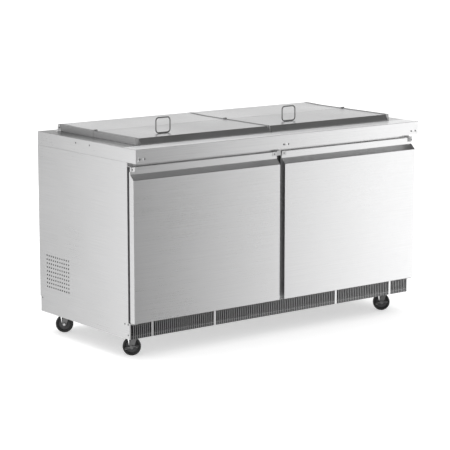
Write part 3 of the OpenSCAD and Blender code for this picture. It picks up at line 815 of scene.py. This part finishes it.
KEPT = [
    ("left_side_panel", STEEL, 0.0),
    ("right_side_panel", STEEL, 0.0),
    ("back_panel", STEEL, 0.0),
    ("base_frame", STEEL, 0.0006),
    ("door_frame", STEEL, 0.0008),
    ("pan_rails", STEEL, 0.0008),
    ("cabinet_liner", WHITE, 0.0),
    ("shelf_clips", FITTING, 0.0006),
    ("door_hinge_brackets", FITTING, 0.0005),
    ("centre_door_stop", FITTING, 0.0005),
    ("caster_plates", FITTING, 0.0005),
    ("compressor", BLACK_PAINT, 0.002),
    ("condenser_coil", FINS, 0.0),
    ("condenser_shroud", BLACK_PAINT, 0.0),
    ("drain_pan", FITTING, 0.0005),
    ("evaporator_coil", FINS, 0.0),
    ("evaporator_cover", WHITE, 0.0),
    ("fan_motors", FITTING, 0.0008),
    ("control_box", WHITE, 0.002),
    ("cord_gland", BLACK, 0.0008),
    ("condenser_fan", BLACK, 0.0),
    ("evaporator_fan", BLACK, 0.0),
    ("thermostat_knob", BLACK, 0.0008),
    ("left_wire_shelf", SHELF, 0.0005),
    ("right_wire_shelf", SHELF, 0.0005),
    ("pan_1", PAN, 0.0),
    ("pan_2", PAN, 0.0),
    ("pan_3", PAN, 0.0),
    ("pan_4", PAN, 0.0),
]
for node, mat, width in KEPT:
    soften(node, mat, width)


# ---------------------------------------------------------------- studio

TARGET = (-0.0943, -0.0728, 0.4546)
DISTANCE = 8.0
AZIMUTH, ELEVATION = -37.45, 10.22
LENS = 147.55

# sine of a direction's elevation, and how bright the steel sees it
SKY = [
    (-1.0, 0.2),
    (-0.6, 0.25),
    (-0.25, 0.7),
    (0.05, 1.0),
    (0.2, 1.02),
    (0.3, 0.85),
    (0.42, 0.38),
    (0.55, 0.15),
    (0.8, 0.07),
    (0.93, 0.15),
    (1.0, 0.4),
]
SKY_ON_MATT = 1.1
# the ceiling over the back: how bright, above which sines of elevation, from which depth on
BACK_CEILING, CEILING_UP, CEILING_BACK = 0.7, (0.6, 0.8), (0.05, 0.3)
FLOOR_GLOW, FLOOR_TONES = 0.46, (0.74, 0.75)
OVERHEAD_W, OVERHEAD_SIZE, OVERHEAD_AT = 40, (3.5, 2.5), (-0.6, 0.9, 3.4)

# light tent walls: name, centre, turn about Z, place of the turning point along the wall,
# brightness there, change per metre away from it, least and most
WALL_Z, WALL_HALF = (-1.7, 1.15), 5.5
WALLS = [
    ("wall_front", (0.0, -2.35), 0, 0.0, 0.022, 0.555, 0.18, 1.9),
    ("wall_left", (-1.97, 0.0), -90, -0.5, 1.345, -0.414, 0.3, 1.4),
    ("wall_back", (0.0, 3.5), 180, 0.0, 0.45, 0.25, 0.3, 1.4),
    ("wall_right", (3.4, 0.0), 90, 0.0, 0.7, 0.4, 0.3, 1.7),
]


def tent_wall(name, centre, turn, middle, level, slope, least, most):
    """A light card that only the glossy metal sees, its brightness changing evenly along it."""
    bm = bmesh.new()
    (z0, z1), half = WALL_Z, WALL_HALF
    corners = ((-half, 0, z0), (half, 0, z0), (half, 0, z1), (-half, 0, z1))
    bm.faces.new([bm.verts.new(p) for p in corners])
    m = Nodes(name)
    across = m.math("SUBTRACT", m.part(m.place, 0), middle)
    glow = m.math("MULTIPLY_ADD", m.math("ABSOLUTE", across), slope, level)
    glow = m.math("MINIMUM", m.math("MAXIMUM", glow, least), most)
    lamp = m.add("ShaderNodeEmission", {"Strength": glow})
    m.feed(m.tree.nodes["Material Output"].inputs["Surface"], lamp)
    wall = linked(bm, name, m.mat)
    wall.location = (*centre, 0)
    wall.rotation_euler = (0, 0, math.radians(turn))
    wall.visible_camera = wall.visible_diffuse = wall.visible_shadow = False


def sky():
    """White behind the object, an even dome on matt surfaces, and a dark ceiling in the steel."""
    world = bpy.data.worlds.new("studio")
    bpy.context.scene.world = world
    world.use_nodes = True
    world.cycles.sampling_method = "NONE"
    tree = world.node_tree

    def node(kind, *inputs, **settings):
        made = tree.nodes.new(kind)
        for key, value in settings.items():
            setattr(made, key, value)
        for socket, value in zip(made.inputs, inputs):
            if isinstance(value, bpy.types.NodeSocket):
                tree.links.new(value, socket)
            else:
                socket.default_value = value
        return made

    way = node("ShaderNodeSeparateXYZ", node("ShaderNodeTexCoord").outputs["Generated"]).outputs
    up = way["Z"]
    # the ceiling is dark over the front, light over the back
    high = node("ShaderNodeMapRange", up, *CEILING_UP, 0.0, 1.0).outputs[0]
    lift = node("ShaderNodeMapRange", way["Y"], *CEILING_BACK, 0.0, BACK_CEILING).outputs[0]
    lift = node("ShaderNodeMath", high, lift, operation="MULTIPLY").outputs[0]
    along = node("ShaderNodeMath", up, 0.5, 0.5, operation="MULTIPLY_ADD").outputs[0]
    ramp = node("ShaderNodeValToRGB", along)
    stops = ramp.color_ramp.elements
    while len(stops) < len(SKY):
        stops.new(0.5)
    for stop, (z, value) in zip(stops, SKY):
        stop.position = z * 0.5 + 0.5
        stop.color = grey(value)
    path = node("ShaderNodeLightPath").outputs
    seen = node("ShaderNodeMath", ramp.outputs["Color"], lift, operation="MAXIMUM").outputs[0]
    steel = node("ShaderNodeBackground", seen)
    matt = node("ShaderNodeBackground", (1, 1, 1, 1), SKY_ON_MATT)
    behind = node("ShaderNodeBackground", (1, 1, 1, 1))
    both = node("ShaderNodeMixShader", path["Is Diffuse Ray"], steel.outputs[0], matt.outputs[0])
    out = node("ShaderNodeMixShader", path["Is Camera Ray"], both.outputs[0], behind.outputs[0])
    tree.links.new(out.outputs[0], tree.nodes["World Output"].inputs[0])


def studio():
    """The glowing pale floor, the light tent, one soft lamp overhead and the camera."""
    scene = bpy.context.scene
    bm = bmesh.new()
    bmesh.ops.create_grid(bm, x_segments=1, y_segments=1, size=40)
    m = Nodes("pale_floor")
    cloud = m.noise(m.scaled(1, 1, 1), 3.0)
    m.set(
        Base_Color=m.mix(cloud, *[grey(tone) for tone in FLOOR_TONES]),
        Roughness=0.9,
        Specular_IOR_Level=0.0,
        Emission_Color=grey(1.0),
        Emission_Strength=FLOOR_GLOW,
    )
    floor = linked(bm, "floor", m.mat)
    floor.visible_glossy = False
    sky()
    for wall in WALLS:
        tent_wall(*wall)

    lamp = bpy.data.lights.new("overhead", "AREA")
    lamp.shape, (lamp.size, lamp.size_y) = "RECTANGLE", OVERHEAD_SIZE
    lamp.energy = OVERHEAD_W
    top = bpy.data.objects.new("overhead", lamp)
    top.location = OVERHEAD_AT
    top.rotation_euler = (Vector((0, 0, 0.4)) - top.location).to_track_quat("-Z", "Y").to_euler()
    top.visible_glossy = False
    scene.collection.objects.link(top)

    cam = bpy.data.cameras.new("camera")
    cam.sensor_width, cam.lens = 36, LENS
    o = bpy.data.objects.new("camera", cam)
    a, e = math.radians(AZIMUTH), math.radians(ELEVATION)
    away = Vector((math.sin(a) * math.cos(e), -math.cos(a) * math.cos(e), math.sin(e)))
    o.location = Vector(TARGET) + away * DISTANCE
    o.rotation_euler = (-away).to_track_quat("-Z", "Y").to_euler()
    scene.collection.objects.link(o)
    scene.camera = o
    scene.view_settings.view_transform = "Standard"
    scene.view_settings.look = "None"


studio()
